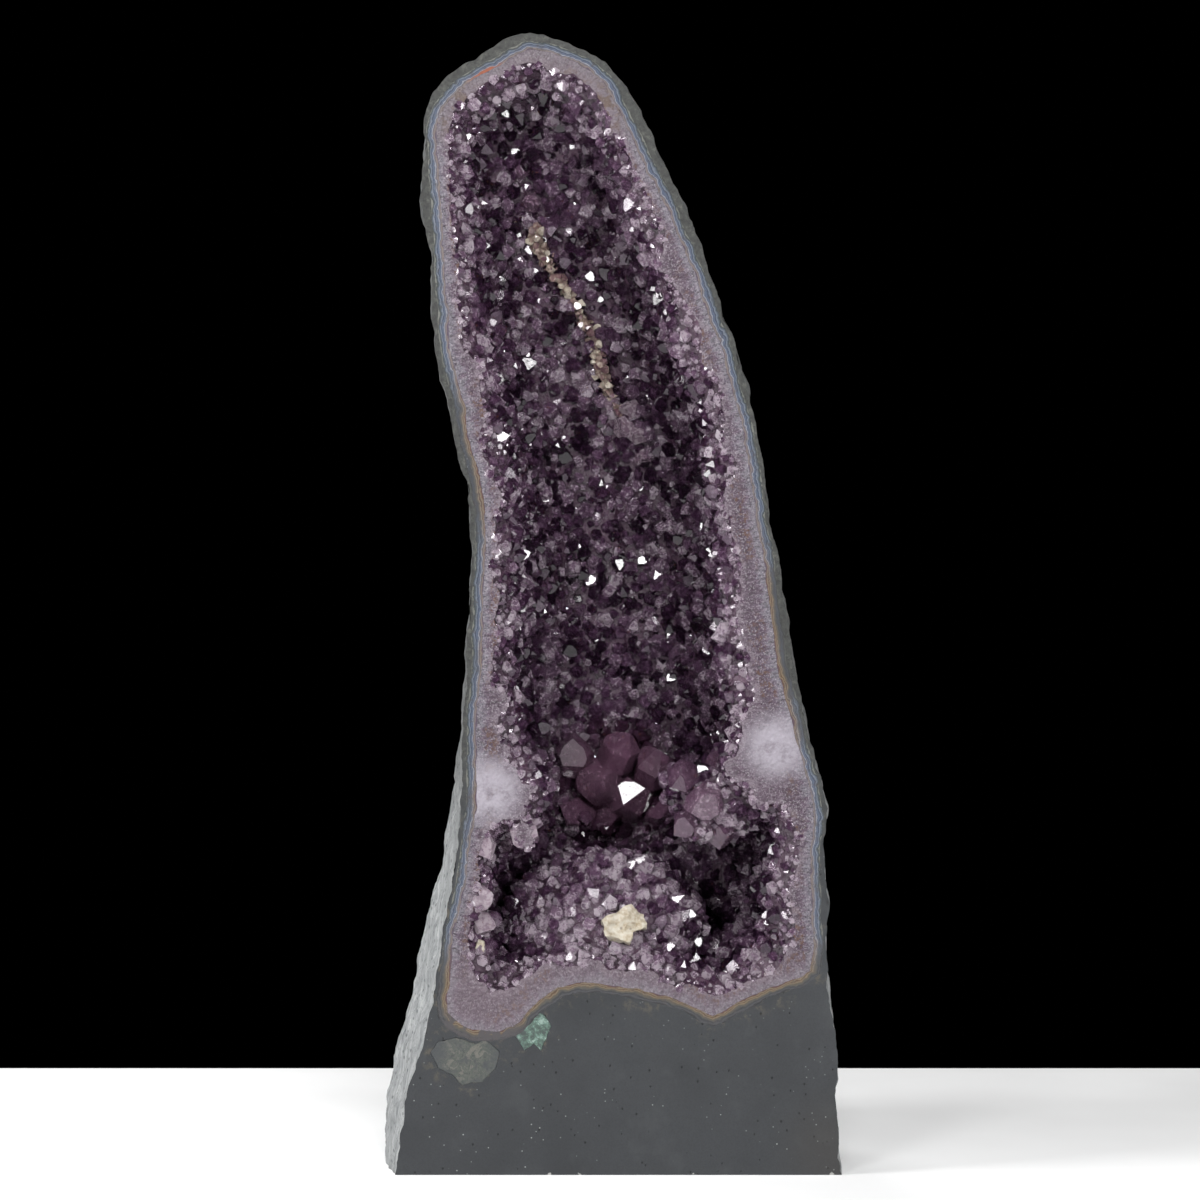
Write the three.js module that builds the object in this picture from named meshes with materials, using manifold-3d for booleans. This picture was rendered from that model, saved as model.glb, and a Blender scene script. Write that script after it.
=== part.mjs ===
// An amethyst cathedral geode: a tall basalt geode sawn flat down its front and flat across its foot, so that it
// stands on the foot and shows its crystal-lined hollow. Millimetres, +Z up. The sawn front faces -Y, and the
// origin is on the floor, under the middle of the stone.
//
// The mineral layers nest inside each other and are all sawn flush at the front:
//   basalt_shell      the dark rock that the gas bubble formed in, with the solid foot
//   agate_band        the thin chalcedony skin that lined the bubble first
//   amethyst_lining   the quartz druse grown on the agate, with its two lobes, its mound and its larger crystals
//   calcite_*         late calcite that sits on the amethyst: a seam of grains, a broken plate and a chip
//   celadonite_patch  green clay mineral in a pocket between basalt and agate
//   agate_nodule      a second, small agate-filled bubble in the foot
import * as THREE from "three";
import { ImprovedNoise } from "three/addons/math/ImprovedNoise.js";
import { mergeVertices } from "three/addons/utils/BufferGeometryUtils.js";
import Module from "manifold-3d";

const wasm = await Module();
wasm.setup();

// ---------------------------------------------------------------- driving dimensions

const GAP = 0.3; // clearance between neighbouring minerals
const AGATE_THICKNESS = 7.5;
const BEYOND = 60; // how far the cutting shapes run past the saw cuts
const OUTLINE_SAMPLES = 2; // vertices for each control point of an outline
const WALL_ROUNDNESS = 0.8; // 1 makes the hollow's section an ellipse, less makes it squarer
const RIDGE_SHARE = 0.3; // where a wall stops curving and meets its spine, as a share of the front width

// The sawn front of the rock, clockwise from its peak: x and z. It runs below the floor, where the foot is cut.
const ROCK_OUTLINE = [
  [-62, 900], [-38, 895], [-2, 876], [19, 851], [39, 808], [63, 759], [93, 674], [111, 621], [125, 541],
  [136, 470], [145, 413], [154, 366], [165, 322], [174, 290], [171, 258], [173, 210], [173, 163], [178, 120],
  [181, 70], [183, 14], [183, -40], [80, -40], [-60, -40], [-166, -40], [-166, 12], [-161, 42], [-150, 84],
  [-138, 138], [-128, 202], [-116, 272], [-113, 340], [-111, 400], [-109, 470], [-107, 522], [-116, 565],
  [-126, 612], [-137, 672], [-139, 728], [-149, 768], [-144, 805], [-143, 840], [-127, 865], [-94, 885],
  [-78, 896],
];

// The agate's outer edge on the same face: the wall of the old gas bubble, with its scalloped floor.
const BUBBLE_OUTLINE = [
  [-61, 894], [-29, 886], [2, 867], [15, 843], [27, 818], [47, 779], [66, 736], [88.5, 675], [107, 619],
  [121.5, 545], [133, 465], [141.5, 405], [150, 368], [159.5, 330], [170, 290], [167, 256], [168, 205], [167, 158],
  [151, 148], [128, 139], [103, 128], [84, 118], [58, 128], [25, 139], [-8, 144], [-36, 141], [-52, 128],
  [-71, 110], [-95, 106], [-118, 110], [-133, 124], [-132, 158], [-123, 209], [-114, 260], [-110.5, 315],
  [-108, 385], [-106, 460], [-104, 525], [-117, 585], [-131.5, 660], [-137, 735], [-141, 797], [-139.5, 836],
  [-122, 860], [-92, 879], [-74, 889],
];

// The mouth of the hollow on the same face, along the tips of the crystals that line it.
const MOUTH_OUTLINE = [
  [-60, 862], [-40, 852], [-14, 834], [4, 806], [21, 765], [38, 712], [60, 652], [77, 610], [87, 550],
  [94, 486], [91, 430], [97, 380], [112, 320], [136, 270], [135, 240], [131, 212], [136, 190], [112, 170],
  [88, 155], [70, 160], [34, 174], [-4, 178], [-40, 172], [-72, 164], [-94, 170], [-101, 196], [-96, 230],
  [-92, 270], [-86, 320], [-84, 375], [-77, 420], [-75, 480], [-77, 535], [-86, 590], [-98, 650],
  [-109, 710], [-112, 765], [-114, 806], [-104, 838], [-80, 853],
];

// Centre line and depth of the rock at each height: [z, x of the centre, depth behind the sawn front].
const ROCK_STATIONS = [
  [-40, 8, 262], [60, 12, 260], [140, 19, 252], [220, 24, 236], [300, 27, 224], [400, 18, 212], [500, 12, 204],
  [600, -4, 192], [700, -27, 172], [780, -46, 148], [820, -54, 128],
];

// The same for the bubble, between the two ends of the line that its wall curves round.
const BUBBLE_STATIONS = [
  [215, 18, 188], [300, 24, 188], [400, 16, 180], [500, 10, 172], [600, -5, 160], [700, -28, 142],
  [780, -48, 116], [800, -52, 106],
];
const DRUSE_AT_BACK = 26; // how thick the amethyst is on the back wall

// How far the flanks swell past the front edge on their way back: [z, swell].
const LEFT_SWELL = [[0, 22], [50, 33], [120, 37], [180, 28], [250, 22], [310, 17], [365, 9], [430, 3], [520, 0]];
const RIGHT_SWELL = [[0, 7], [160, 8], [300, 5], [560, 1], [650, 5], [850, 5], [900, 1]];
const ROCK_LUMPS = { size: 85, height: 14 }; // the slow unevenness of the rough rock, fullest along its back

// Rounded growths of the druse: centre and half-sizes.
const GROWTHS = [
  { at: [-98, 12, 300], half: [55, 58, 40] }, // left lobe
  { at: [-98, 6, 345], half: [34, 42, 58] }, // left lobe's tapering top
  { at: [138, 8, 320], half: [52, 54, 38] }, // right lobe
  { at: [92, 52, 292], half: [38, 42, 34] }, // right lobe's inner shoulder
  { at: [-4, 76, 188], half: [84, 62, 62] }, // mound in the lower hollow
];

const CRYSTAL_COUNT = 46;
const CRYSTAL_RADIUS = [9, 15]; // at the root
const CRYSTAL_SPACING = 30;
const CRYSTAL_HEIGHT = 1.7; // as a share of the radius
const CRYSTAL_SUNK = 0.3; // the share of its height that is set in the druse
const CRYSTAL_SIDES = 6;

// The largest crystals, on the walls of the lower hollow: [x, z, radius at the root].
const LARGE_CRYSTALS = [
  [-28, 322, 19], [-8, 298, 22], [13, 326, 18], [22, 286, 21], [40, 312, 18], [-24, 268, 18], // on the back wall
  [-84, 258, 17], [-64, 270, 15], // hanging from the left lobe
  [60, 306, 19], [76, 274, 18], [54, 272, 15], // under the right lobe
  [-99, 236, 13], [-101, 210, 14], [-97, 182, 14], // up the lower left edge
];

const CALCITE_PLATE = {
  at: [14, 12, 196], tilt: [-0.25, 0.1, 0], thickness: 11,
  outline: [[-18, 2], [-7, 11], [4, 15], [15, 10], [17, 0], [7, -5], [5, -14], [-14, -10]],
};
const CALCITE_CHIP = {
  at: [-105, 5, 172], tilt: [0, 0.2, 0], thickness: 9,
  outline: [[-9, -12], [0, -9], [7, -3], [5, 12], [1, 13], [-1, 2], [-8, -6]],
};
const CALCITE_SEAM = [[-59, 754], [-50, 733], [-40, 717], [-31, 703], [-22, 685], [-11, 671], [-7, 655],
  [-3, 636], [4, 620], [12, 606]];
const SEAM_GRAIN = 9; // radius of a calcite grain in the seam
const SEAM_STEP = 9; // distance between grains
const CELADONITE_PATCH = {
  depth: 12,
  outline: [[-66, 99], [-57, 103], [-52, 98], [-47, 108], [-43, 118], [-49, 126], [-61, 133], [-73, 112]],
};
const AGATE_NODULE = {
  depth: 16,
  outline: [
    [-139, 97], [-134, 104], [-120, 108], [-104, 104], [-95, 106], [-85, 96], [-87, 84], [-97, 72], [-112, 70],
    [-121, 79], [-133, 84],
  ],
};

const MATERIALS = {
  basalt: { color: "#4b4e51", roughness: 0.85, metalness: 0 },
  agate: { color: "#8b90a0", roughness: 0.25, metalness: 0 },
  amethyst: { color: "#5b3a63", roughness: 0.12, metalness: 0 },
  calcite: { color: "#e0d6bd", roughness: 0.5, metalness: 0 },
  celadonite: { color: "#5f9a80", roughness: 0.7, metalness: 0 },
  nodule: { color: "#7d7f78", roughness: 0.35, metalness: 0 },
};

// ---------------------------------------------------------------- small tools

const perlin = new ImprovedNoise();

/** Reads a column of a table of [key, value, ...] rows at a key, in straight lines between the rows. */
function readTable(rows, key, column = 1) {
  if (key <= rows[0][0]) return rows[0][column];
  for (let i = 1; i < rows.length; i++) {
    const [from, to] = [rows[i - 1], rows[i]];
    if (key <= to[0]) return THREE.MathUtils.mapLinear(key, from[0], to[0], from[column], to[column]);
  }
  return rows.at(-1)[column];
}

/** The same run of random numbers every time, from 0 to 1. */
function seededRandom(seed) {
  let state = seed;
  return () => {
    state = (state + 0x6d2b79f5) | 0;
    let mixed = Math.imul(state ^ (state >>> 15), 1 | state);
    mixed = (mixed + Math.imul(mixed ^ (mixed >>> 7), 61 | mixed)) ^ mixed;
    return ((mixed ^ (mixed >>> 14)) >>> 0) / 4294967296;
  };
}

/** A smooth closed outline on the sawn face, as points with y = 0. */
function smoothOutline(points) {
  const corners = points.map(([x, z]) => new THREE.Vector3(x, 0, z));
  const curve = new THREE.CatmullRomCurve3(corners, true, "centripetal");
  return curve.getPoints(points.length * OUTLINE_SAMPLES).slice(0, -1);
}

/** The outline moved inwards by a distance, or outwards by a negative one. It runs clockwise seen from the front. */
function inset(outline, distance) {
  return outline.map((point, i) => {
    const before = outline.at(i - 1);
    const after = outline[(i + 1) % outline.length];
    const along = after.clone().sub(before).normalize();
    return new THREE.Vector3(point.x + along.z * distance, 0, point.z - along.x * distance);
  });
}

/** A closed geometry with its shared vertices merged, as a solid that booleans can work on. */
function solidFrom(geometry) {
  const bare = geometry.clone();
  bare.deleteAttribute("normal");
  bare.deleteAttribute("uv");
  const merged = mergeVertices(bare, 1e-3);
  const corners = merged.index.array;
  const triVerts = [];
  for (let i = 0; i < corners.length; i += 3) {
    const [a, b, c] = corners.slice(i, i + 3);
    if (a !== b && b !== c && c !== a) triVerts.push(a, b, c);
  }
  const meshOf = (indices) =>
    new wasm.Mesh({
      numProp: 3,
      vertProperties: merged.attributes.position.array,
      triVerts: new Uint32Array(indices),
    });
  const solid = new wasm.Manifold(meshOf(triVerts));
  if (solid.volume() > 0) return solid;
  return new wasm.Manifold(meshOf(triVerts.reverse()));
}

/** A solid's surface as a geometry with flat facets. */
function geometryFrom(solid) {
  const mesh = solid.getMesh();
  const geometry = new THREE.BufferGeometry();
  const stride = mesh.numProp;
  const positions = new Float32Array(mesh.numVert * 3);
  for (let i = 0; i < mesh.numVert; i++) {
    positions.set(mesh.vertProperties.subarray(i * stride, i * stride + 3), i * 3);
  }
  geometry.setAttribute("position", new THREE.BufferAttribute(positions, 3));
  geometry.setIndex(new THREE.BufferAttribute(mesh.triVerts, 1));
  const faceted = geometry.toNonIndexed();
  faceted.computeVertexNormals();
  return faceted;
}

/**
 * A closed surface over a stack of equally long rings: flat over the first ring, and drawn in behind the last one to
 * a spine. `feet` says which point of the spine each point of a ring is drawn in to.
 */
function skin(rings, spine, feet) {
  const count = rings[0].length;
  const indices = [];
  for (let ring = 0; ring + 1 < rings.length; ring++) {
    for (let i = 0; i < count; i++) {
      const [a, b] = [ring * count + i, ring * count + ((i + 1) % count)];
      indices.push(a, b, b + count, a, b + count, a + count);
    }
  }
  const flat = rings[0].map((point) => new THREE.Vector2(point.x, point.z));
  for (const lid of THREE.ShapeUtils.triangulateShape(flat, [])) {
    indices.push(...(isClockwise(...lid.map((i) => flat[i])) ? lid.toReversed() : lid));
  }
  const [last, end] = [(rings.length - 1) * count, rings.length * count];
  for (let i = 0; i < count; i++) {
    const next = (i + 1) % count;
    const step = Math.sign(feet[next] - feet[i]);
    indices.push(last + i, last + next, end + feet[i]);
    for (let foot = feet[i]; foot !== feet[next]; foot += step) {
      indices.push(last + next, end + foot + step, end + foot);
    }
  }
  const geometry = new THREE.BufferGeometry();
  const points = [...rings.flat(), ...spine];
  geometry.setAttribute("position", new THREE.Float32BufferAttribute(points.flatMap((point) => point.toArray()), 3));
  geometry.setIndex(indices);
  return geometry;
}

function isClockwise(a, b, c) {
  return (b.x - a.x) * (c.y - a.y) - (b.y - a.y) * (c.x - a.x) < 0;
}

/**
 * A shape with the given outline at the sawn face that closes in behind it, round a line of stations, like half a
 * pod. It also runs forwards past the saw cut. `narrower` moves the outline inwards and `shallower` takes from the
 * depth, `swell` moves a point sideways on its way back, and `lumps` makes the wall uneven.
 */
function pod(base, stations, { narrower = 0, shallower = 0, ringCount = 5, swell = () => 0, lumps = null }) {
  const outline = inset(base, narrower);
  const [lowest, highest] = [stations[0][0], stations.at(-1)[0]];
  const spine = stations.map(([z, x, depth]) => new THREE.Vector3(x, depth - shallower, z));
  const feet = base.map((point) => nearestStation(stations, point.z));
  const rings = [outline.map((point) => new THREE.Vector3(point.x, -BEYOND, point.z))];
  const lastTurn = Math.acos(RIDGE_SHARE ** (1 / WALL_ROUNDNESS));
  for (let ring = 0; ring < ringCount; ring++) {
    const share = ring / (ringCount - 1);
    const turn = share * lastTurn;
    rings.push(outline.map((point) => {
      const height = THREE.MathUtils.clamp(point.z, lowest, highest);
      const centre = new THREE.Vector3(readTable(stations, height, 1), 0, height);
      const placed = centre.clone().lerp(point, Math.cos(turn) ** WALL_ROUNDNESS);
      placed.x += Math.sign(point.x - centre.x) * swell(point) * Math.sin(Math.PI * share ** 0.8);
      placed.y = (readTable(stations, height, 2) - shallower) * Math.sin(turn) ** WALL_ROUNDNESS;
      if (lumps && share > 0) {
        const [u, v, w] = placed.toArray().map((value) => value / lumps.size);
        const lift = lumps.height * share * perlin.noise(u, v, w);
        placed.addScaledVector(placed.clone().sub(centre).normalize(), lift);
      }
      return placed;
    }));
  }
  return solidFrom(skin(rings, spine, feet));
}

function nearestStation(stations, height) {
  const distances = stations.map(([z]) => Math.abs(z - height));
  return distances.indexOf(Math.min(...distances));
}

/** Everything behind the sawn front and above the sawn foot. */
function sawnSpace() {
  const [width, depth, height] = [800, 600, 1000];
  const box = new THREE.BoxGeometry(width, depth, height);
  box.translate(0, depth / 2, height / 2);
  return solidFrom(box);
}

/** A thick plate cut from an outline of [x, z] points, which it stands proud of by `grow`. */
function plate({ outline, thickness, at = [0, 0, 0], tilt = [0, 0, 0] }, grow = 0) {
  const closed = outline.map(([x, z]) => new THREE.Vector3(x, 0, z));
  const direction = THREE.ShapeUtils.isClockWise(closed.map((point) => ({ x: point.x, y: point.z }))) ? -1 : 1;
  const shape = new THREE.Shape(inset(closed, grow * direction).map((point) => new THREE.Vector2(point.x, point.z)));
  const geometry = new THREE.ExtrudeGeometry(shape, { depth: thickness + 2 * grow, bevelEnabled: false, steps: 1 });
  geometry.translate(0, 0, -grow - thickness);
  geometry.rotateX(Math.PI / 2);
  geometry.rotateX(tilt[0]);
  geometry.rotateY(tilt[1]);
  geometry.rotateZ(tilt[2]);
  geometry.translate(...at);
  return solidFrom(geometry);
}

/** Where a line straight back from the front first meets a surface. */
function behindFront(mesh, x, z) {
  const ray = new THREE.Raycaster(new THREE.Vector3(x, -BEYOND, z), new THREE.Vector3(0, 1, 0));
  return ray.intersectObject(mesh)[0];
}

// ---------------------------------------------------------------- the layers, from the hollow outwards

const bubble = smoothOutline(BUBBLE_OUTLINE);

/** The bubble's wall moved inwards by a distance. */
function bubblePod(distance) {
  return pod(bubble, BUBBLE_STATIONS, { narrower: distance, shallower: distance });
}

function growth({ at, half }) {
  const geometry = new THREE.IcosahedronGeometry(1, 2);
  geometry.scale(...half);
  geometry.translate(...at);
  return solidFrom(geometry);
}

/** The druse with its hollow and its rounded growths, before its larger crystals. */
function druseBed() {
  const hollow = pod(smoothOutline(MOUTH_OUTLINE), BUBBLE_STATIONS, {
    shallower: AGATE_THICKNESS + DRUSE_AT_BACK,
    ringCount: 6,
  });
  let bed = bubblePod(AGATE_THICKNESS).subtract(hollow);
  for (const each of GROWTHS) bed = bed.add(growth(each));
  return bed.intersect(bubblePod(AGATE_THICKNESS)).intersect(sawnSpace());
}

/** One quartz crystal's point, along +Z, with its root below the origin. */
function crystal(radius) {
  const height = radius * CRYSTAL_HEIGHT;
  const geometry = new THREE.ConeGeometry(radius, height, CRYSTAL_SIDES);
  geometry.translate(0, height * (0.5 - CRYSTAL_SUNK), 0);
  geometry.rotateX(Math.PI / 2);
  return geometry;
}

/** Faces of the bed that look into the hollow, each with the running total of their area. */
function hollowFaces(wall) {
  const position = wall.geometry.attributes.position;
  const faces = [];
  let area = 0;
  for (let i = 0; i < position.count; i += 3) {
    const triangle = new THREE.Triangle().setFromAttributeAndIndices(position, i, i + 1, i + 2);
    const normal = triangle.getNormal(new THREE.Vector3());
    const middle = triangle.getMidpoint(new THREE.Vector3());
    const height = THREE.MathUtils.clamp(middle.z, BUBBLE_STATIONS[0][0], BUBBLE_STATIONS.at(-1)[0]);
    const centre = new THREE.Vector3(readTable(BUBBLE_STATIONS, height), 10, height);
    if (normal.dot(centre.sub(middle)) <= 0 || middle.y < 14) continue;
    area += triangle.getArea();
    faces.push({ triangle, normal, upTo: area });
  }
  return faces;
}

/** Scattered places on the walls of the hollow, each with the direction that its crystal grows in. */
function scatteredPlaces(wall, random) {
  const faces = hollowFaces(wall);
  const places = [];
  while (places.length < CRYSTAL_COUNT) {
    const pick = random() * faces.at(-1).upTo;
    const { triangle, normal } = faces.find(({ upTo }) => upTo >= pick);
    const at = triangle.a.clone().lerp(triangle.b, random()).lerp(triangle.c, 1 - Math.sqrt(random()));
    const radius = THREE.MathUtils.lerp(...CRYSTAL_RADIUS, random());
    if (places.every((other) => other.at.distanceTo(at) > CRYSTAL_SPACING)) places.push({ at, normal, radius });
  }
  return places;
}

function largePlaces(wall) {
  return LARGE_CRYSTALS.map(([x, z, radius]) => {
    const { point, face } = behindFront(wall, x, z);
    return { at: point, normal: face.normal, radius };
  });
}

function crystals(bed) {
  const random = seededRandom(11);
  const wall = new THREE.Mesh(geometryFrom(bed));
  const up = new THREE.Vector3(0, 0, 1);
  return [...largePlaces(wall), ...scatteredPlaces(wall, random)].map(({ at, normal, radius }) => {
    const lean = new THREE.Vector3(random() - 0.5, random() - 0.5, random() - 0.5).multiplyScalar(0.7);
    const geometry = crystal(radius);
    geometry.rotateZ(random() * Math.PI);
    geometry.applyQuaternion(new THREE.Quaternion().setFromUnitVectors(up, normal.clone().add(lean).normalize()));
    geometry.translate(...at);
    return solidFrom(geometry);
  });
}

function seamGrains(bed, grow) {
  const wall = new THREE.Mesh(geometryFrom(bed));
  const path = new THREE.CatmullRomCurve3(CALCITE_SEAM.map(([x, z]) => behindFront(wall, x, z).point));
  const random = seededRandom(5);
  const grains = path.getSpacedPoints(Math.round(path.getLength() / SEAM_STEP)).map((point) => {
    const geometry = new THREE.OctahedronGeometry(SEAM_GRAIN * (0.85 + 0.3 * random()) + grow * 2);
    geometry.rotateX(random() * Math.PI);
    geometry.rotateZ(random() * Math.PI);
    geometry.translate(...point);
    return solidFrom(geometry);
  });
  return wasm.Manifold.union(grains);
}

function prismBehindFront({ outline, depth }, grow = 0) {
  return plate({ outline, thickness: depth }, grow);
}

// ---------------------------------------------------------------- building the object

const front = sawnSpace();
const bed = druseBed();
const withoutCalcite = wasm.Manifold.union([bed, ...crystals(bed)])
  .intersect(bubblePod(AGATE_THICKNESS))
  .intersect(front);

const amethystLining = withoutCalcite
  .subtract(plate(CALCITE_PLATE, GAP))
  .subtract(plate(CALCITE_CHIP, GAP))
  .subtract(seamGrains(bed, GAP));

const agateBand = bubblePod(0).subtract(bubblePod(AGATE_THICKNESS - GAP)).intersect(front);
const bubbleInRock = bubblePod(-GAP);
const celadonite = prismBehindFront(CELADONITE_PATCH).subtract(bubbleInRock).intersect(front);
const nodule = prismBehindFront(AGATE_NODULE).subtract(bubbleInRock).intersect(front);

const basaltShell = pod(smoothOutline(ROCK_OUTLINE), ROCK_STATIONS, {
  ringCount: 8,
  swell: (point) => readTable(point.x < 0 ? LEFT_SWELL : RIGHT_SWELL, point.z),
  lumps: ROCK_LUMPS,
})
  .intersect(front)
  .subtract(bubbleInRock)
  .subtract(prismBehindFront(CELADONITE_PATCH, GAP))
  .subtract(prismBehindFront(AGATE_NODULE, GAP));

const geode = new THREE.Group();

function addPiece(name, solid, material) {
  const mesh = new THREE.Mesh(geometryFrom(solid), new THREE.MeshStandardMaterial(MATERIALS[material]));
  mesh.name = name;
  geode.add(mesh);
}

addPiece("basalt_shell", basaltShell, "basalt");
addPiece("agate_band", agateBand, "agate");
addPiece("amethyst_lining", amethystLining, "amethyst");
addPiece("calcite_plate", plate(CALCITE_PLATE), "calcite");
addPiece("calcite_chip", plate(CALCITE_CHIP), "calcite");
addPiece("calcite_seam", seamGrains(bed, 0), "calcite");
addPiece("celadonite_patch", celadonite, "celadonite");
addPiece("agate_nodule", nodule, "nodule");

const middle = new THREE.Box3().setFromObject(geode).getCenter(new THREE.Vector3());
geode.position.set(-middle.x, -middle.y, 0);

export default geode;
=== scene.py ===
"""The looks of the amethyst geode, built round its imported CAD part.

The rock, the agate band, the druse and the calcite start as finer copies of the CAD nodes. Geometry Nodes
grow the thousands of small crystals on the walls of the hollow, and the largest crystals are set one by one.
Metres, +Z up; the sawn front faces -Y.
"""

import itertools
import math
import random

import bmesh
import bpy
import numpy as np
from mathutils import Euler, Matrix, Vector, noise
from mathutils.bvhtree import BVHTree
from mathutils.kdtree import KDTree


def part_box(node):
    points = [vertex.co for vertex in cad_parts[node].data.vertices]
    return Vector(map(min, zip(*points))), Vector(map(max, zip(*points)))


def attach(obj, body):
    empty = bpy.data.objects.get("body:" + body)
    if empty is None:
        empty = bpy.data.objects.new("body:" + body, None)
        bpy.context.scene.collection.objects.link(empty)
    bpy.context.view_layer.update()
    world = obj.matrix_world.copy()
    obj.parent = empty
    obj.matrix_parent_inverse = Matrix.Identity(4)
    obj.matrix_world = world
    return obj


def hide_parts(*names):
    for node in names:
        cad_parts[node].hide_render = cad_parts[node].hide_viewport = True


MM = 0.001

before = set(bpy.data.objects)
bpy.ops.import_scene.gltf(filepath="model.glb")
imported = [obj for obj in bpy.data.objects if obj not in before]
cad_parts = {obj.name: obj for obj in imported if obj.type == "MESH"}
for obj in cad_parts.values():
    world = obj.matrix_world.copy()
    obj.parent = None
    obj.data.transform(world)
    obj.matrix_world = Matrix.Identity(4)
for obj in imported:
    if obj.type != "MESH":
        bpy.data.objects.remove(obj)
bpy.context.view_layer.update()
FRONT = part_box("basalt_shell")[0][1]  # y of the sawn front
ON_CUT = 0.02 * MM  # how near a point lies to a saw cut to count as on it

# ---------------------------------------------------------------- sizes

ROCK_EDGE = 6 * MM  # longest edge of the refined rough rock
ROCK_ROUGHNESS = [(36 * MM, 3.4 * MM), (14 * MM, 2.0 * MM), (6 * MM, 0.9 * MM)]  # its lumps' size, height
BED_EDGE = 9 * MM
BED_ROUGHNESS = [(34 * MM, 4.0 * MM), (15 * MM, 2.2 * MM)]
CUT_EDGE = 4 * MM  # longest edge on the sawn faces of agate and druse
LAYER_GAP = 0.28 * MM  # what the agate grows by to touch its neighbours
RIM_WANDER = [(42 * MM, 2.6 * MM), (13 * MM, 1.5 * MM), (4 * MM, 0.7 * MM)]  # how far borders stray in front
# How the druse's bed falls back round the mouth of the hollow, and how much sawn rim it leaves.
FLARE = {"width": 17 * MM, "depth": 20 * MM, "rim": 8 * MM}
RIM_SMALLER = 0.4  # by how much crystals at the mouth are smaller than further in
MOUTH_EDGE = 2.5 * MM
MOUTH_PASSES = 12  # the most times that its edges are split
MOUTH_TEETH = [(9 * MM, 2.4 * MM), (3.5 * MM, 1.6 * MM)]  # how crystals break the inner edge of the rim

# Layers of small crystals: spacing, smallest and largest radius, lean in degrees.
DRUSE_LAYERS = {
    "druse_points": (9.0 * MM, 4.6 * MM, 8.4 * MM, 30),
    "druse_fill": (5.6 * MM, 2.4 * MM, 4.6 * MM, 38),
}

SEAM_GRAINS = (4.8 * MM, 1.6 * MM, 4.4 * MM, 45)
FRINGE = (4.6 * MM, 2.4 * MM, 4.6 * MM, 16)  # crystals along the sawn front that point into the hollow
FRINGE_DEPTH = 6 * MM
PROUD = 0.8 * MM  # how far crystals may stand out of the sawn front
FLATTENED = 2.5 * MM  # the depth behind that into which those that would stand further out are pressed

# The largest crystals: x and z where they grow from the wall, radius, lean (sideways, up), tone. All but the
# tone in millimetres; the tone runs from 0, deep violet, to 1, pale.
LARGE_CRYSTALS = [
    (-30, 326, 17, 0.0, 0.2, 0.55),
    (-12, 304, 19, -0.2, -0.1, 0.6),
    (8, 328, 16, 0.1, 0.3, 0.5),
    (18, 290, 18, 0.2, -0.2, 0.62),
    (37, 316, 17, 0.3, 0.1, 0.5),
    (-30, 276, 14, -0.3, -0.3, 0.5),
    (-2, 272, 13, 0.0, -0.4, 0.55),
    (40, 276, 13, 0.2, -0.3, 0.45),
    (-87, 262, 13, 0.1, -1.2, 0.8),
    (-68, 268, 12, 0.3, -1.0, 0.7),
    (-100, 258, 10, 0.0, -1.2, 0.75),
    (58, 312, 14, -0.5, 0.0, 0.3),
    (74, 292, 16, -0.4, -0.4, 0.35),
    (62, 274, 13, -0.3, -0.7, 0.25),
    (88, 268, 12, -0.2, -0.8, 0.3),
    (88, 322, 12, -0.6, 0.3, 0.5),
    (-104, 240, 11, 0.8, 0.1, 0.9),
    (-105, 218, 12, 0.8, 0.0, 0.85),
    (-103, 197, 11, 0.8, 0.1, 0.9),
    (1, 617, 9, 0.0, 0.0, 0.9),
    (17, 611, 10, 0.1, 0.1, 0.95),
    (11, 596, 10, 0.0, -0.2, 0.85),
    (23, 590, 9, 0.2, 0.0, 0.9),
    (27, 571, 8, 0.2, 0.0, 0.8),
    (-65, 776, 8, 0.0, 0.0, 0.6),
    (-60, 757, 8, 0.0, 0.2, 0.7),
    (-72, 800, 7, 0.0, 0.0, 0.6),
]

MILKY_CORES = [(-96, 303, 30), (131, 338, 30)]  # x, z and reach of the white cores of the lobes, mm

CAMERA = {"at": (-8.4 * MM, FRONT - 2.5, 453 * MM), "lens": 95.2, "sensor": 36}
FLOOR_BEHIND = 0.57  # how far the floor runs on behind the sawn front

# ---------------------------------------------------------------- shader graphs


def colour(code):
    """The linear colour of an sRGB hex code."""
    parts = [int(code[i : i + 2], 16) / 255 for i in (1, 3, 5)]
    return [part / 12.92 if part <= 0.04045 else ((part + 0.055) / 1.055) ** 2.4 for part in parts] + [1]


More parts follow.
